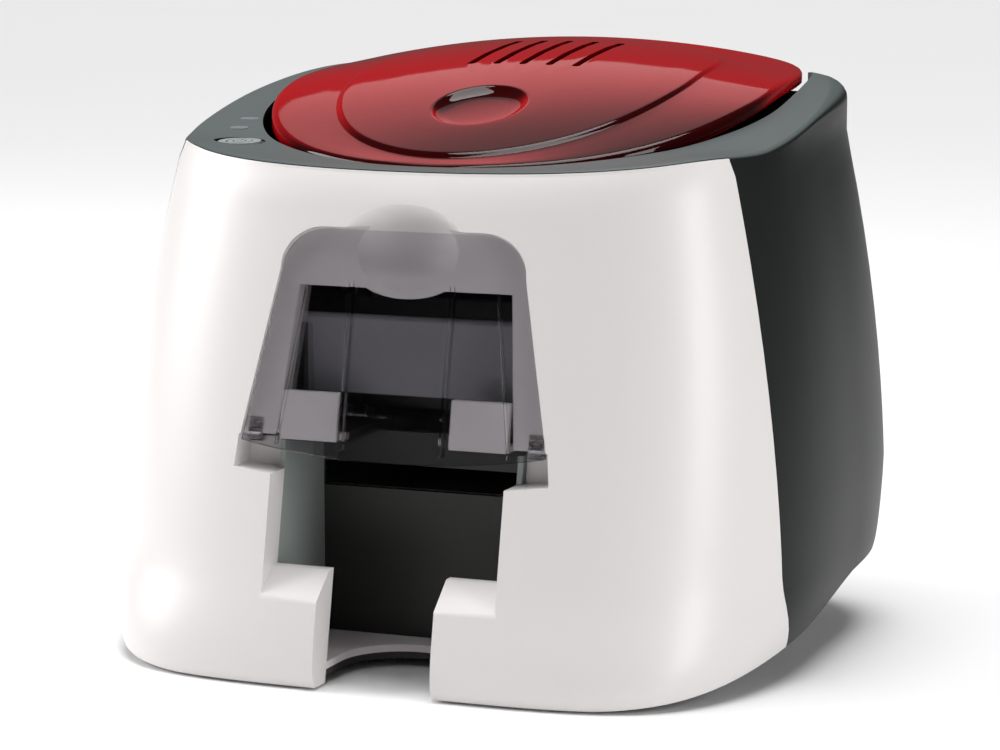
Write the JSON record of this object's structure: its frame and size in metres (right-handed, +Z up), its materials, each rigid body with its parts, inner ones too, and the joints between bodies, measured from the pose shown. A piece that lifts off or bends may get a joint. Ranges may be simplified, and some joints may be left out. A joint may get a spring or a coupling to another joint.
{
  "type": "id card printer",
  "caption": "Desktop id card printer: flared two-tone housing, hinged translucent red lid, hinged smoked feeder cover, card bin, rollers, gears and ribbon inside.",
  "frame": {"origin": "on the floor under the middle of the housing", "axes": "+X to the right as seen from the front, +Y to the rear, +Z up"},
  "size_m": [0.265, 0.2223, 0.214],
  "materials": {
    "shell_white": "satin moulded",
    "shell_dark": "fine texture",
    "base_dark": "fine texture",
    "lid_red": "translucent gloss",
    "cover_smoke": "translucent smoked gloss",
    "button_grey": "satin",
    "window_grey": "gloss",
    "bin_grey": "satin",
    "bin_black": "satin",
    "tray_white": "satin moulded",
    "rubber_black": "matte",
    "steel": "brushed",
    "plate_steel": "zinc plated",
    "gear_natural": "natural moulded",
    "brass_part": "machined",
    "board_green": "coated board",
    "chip_black": "moulded",
    "head_metal": "anodised",
    "arm_dark": "powder coat",
    "cassette_black": "satin",
    "spool_white": "moulded",
    "ribbon_film": "film",
    "flap_grey": "satin"
  },
  "bodies": {
    "housing": {"front_shell": "shell_white", "rear_shell": "shell_dark", "base_tray": "base_dark", "feet": "rubber_black", "case_screws": "steel", "lid_hinge_pins": "steel", "cover_pins": "steel", "button_board": "board_green", "indicator_windows": "window_grey", "bin_frame": "bin_grey", "bin_back": "bin_black", "output_tray": "tray_white", "hopper_guides": "bin_black", "feeder_sills": "shell_white", "card_gate": "arm_dark", "chassis_left": "plate_steel", "chassis_right": "plate_steel", "chassis_floor": "plate_steel", "exit_chute": "bin_black", "head_pivot": "steel", "ribbon_cassette": "cassette_black", "drive_motor": "plate_steel", "idler_pins": "steel", "main_board": "board_green", "board_parts": "chip_black", "board_standoffs": "brass_part", "socket_board": "board_green", "power_inlet": "chip_black", "usb_socket": "plate_steel", "ribbon_web": "ribbon_film"},
    "lid": {"top_lid": "lid_red"},
    "cover": {"feeder_cover": "cover_smoke"},
    "button": {"power_button": "button_grey"},
    "flap": {"pressure_flap": "flap_grey"},
    "head": {"head_arm": "arm_dark", "print_head": "head_metal"},
    "picker": {"pick_shaft": "steel", "pick_tyres": "rubber_black", "pick_gear": "gear_natural"},
    "feeder": {"feed_shaft": "steel", "feed_tyre": "rubber_black", "feed_gear": "gear_natural"},
    "pinch": {"pinch_roller": "head_metal", "pinch_shaft": "steel"},
    "platen": {"platen_shaft": "steel", "platen_tyre": "rubber_black", "platen_gear": "gear_natural"},
    "idler_low": {"low_idler": "gear_natural"},
    "idler_mid": {"mid_idler": "gear_natural"},
    "idler_high": {"high_idler": "gear_natural"},
    "takeup": {"takeup_spool": "spool_white", "takeup_ribbon": "ribbon_film", "takeup_gear": "gear_natural"},
    "supply": {"supply_spool": "spool_white", "supply_ribbon": "ribbon_film"},
    "pinion": {"motor_pinion": "brass_part"}
  },
  "joints": [
    {"name": "lid_hinge", "type": "hinge", "parent": "housing", "child": "lid", "pos_m": [0, 0.106, 0.197], "axis": [-1, 0, 0], "range_deg": [0, 75]},
    {"name": "cover_hinge", "type": "hinge", "parent": "housing", "child": "cover", "pos_m": [0, -0.08841, 0.0852], "axis": [1, 0, 0], "range_deg": [0, 65]},
    {"name": "button_press", "type": "slide", "parent": "housing", "child": "button", "axis": [0, 0.0785, -0.9969], "range_m": [0, 0.0012], "stiffness_N_per_m": 400},
    {"name": "flap_hinge", "type": "hinge", "parent": "housing", "child": "flap", "pos_m": [0, -0.07152, 0.124], "axis": [1, 0, 0], "range_deg": [0, 18]},
    {"name": "head_hinge", "type": "hinge", "parent": "housing", "child": "head", "pos_m": [0, 0.084, 0.104], "axis": [-1, 0, 0], "range_deg": [0, 4]},
    {"name": "platen_spin", "type": "hinge", "parent": "housing", "child": "platen", "pos_m": [0, 0.02, 0.0773], "axis": [1, 0, 0], "continuous": true},
    {"name": "low_idler_spin", "type": "hinge", "parent": "housing", "child": "idler_low", "pos_m": [0, -0.00409, 0.06303], "axis": [1, 0, 0], "continuous": true},
    {"name": "feed_spin", "type": "hinge", "parent": "housing", "child": "feeder", "pos_m": [0, -0.012, 0.0803], "axis": [1, 0, 0], "continuous": true},
    {"name": "mid_idler_spin", "type": "hinge", "parent": "housing", "child": "idler_mid", "pos_m": [0, -0.02604, 0.07263], "axis": [1, 0, 0], "continuous": true},
    {"name": "pick_spin", "type": "hinge", "parent": "housing", "child": "picker", "pos_m": [0, -0.041, 0.0783], "axis": [1, 0, 0], "continuous": true},
    {"name": "high_idler_spin", "type": "hinge", "parent": "housing", "child": "idler_high", "pos_m": [0, 0.0134, 0.11472], "axis": [1, 0, 0], "continuous": true},
    {"name": "takeup_spin", "type": "hinge", "parent": "housing", "child": "takeup", "pos_m": [0, -0.01431, 0.13072], "axis": [1, 0, 0], "continuous": true},
    {"name": "motor_spin", "type": "hinge", "parent": "housing", "child": "pinion", "pos_m": [0, 0.04048, 0.06296], "axis": [1, 0, 0], "continuous": true},
    {"name": "pinch_spin", "type": "hinge", "parent": "housing", "child": "pinch", "pos_m": [0, -0.012, 0.0908], "axis": [1, 0, 0], "continuous": true},
    {"name": "supply_spin", "type": "hinge", "parent": "housing", "child": "supply", "pos_m": [0, 0.054, 0.13072], "axis": [1, 0, 0], "continuous": true}
  ],
  "couplings": [
    {"joint": "low_idler_spin", "follows": "platen_spin", "ratio": -1.8},
    {"joint": "feed_spin", "follows": "platen_spin", "ratio": 2},
    {"joint": "mid_idler_spin", "follows": "platen_spin", "ratio": -2.5714},
    {"joint": "pick_spin", "follows": "platen_spin", "ratio": 2},
    {"joint": "high_idler_spin", "follows": "platen_spin", "ratio": -0.9},
    {"joint": "takeup_spin", "follows": "platen_spin", "ratio": 1.5},
    {"joint": "motor_spin", "follows": "platen_spin", "ratio": -2.5714}
  ]
}
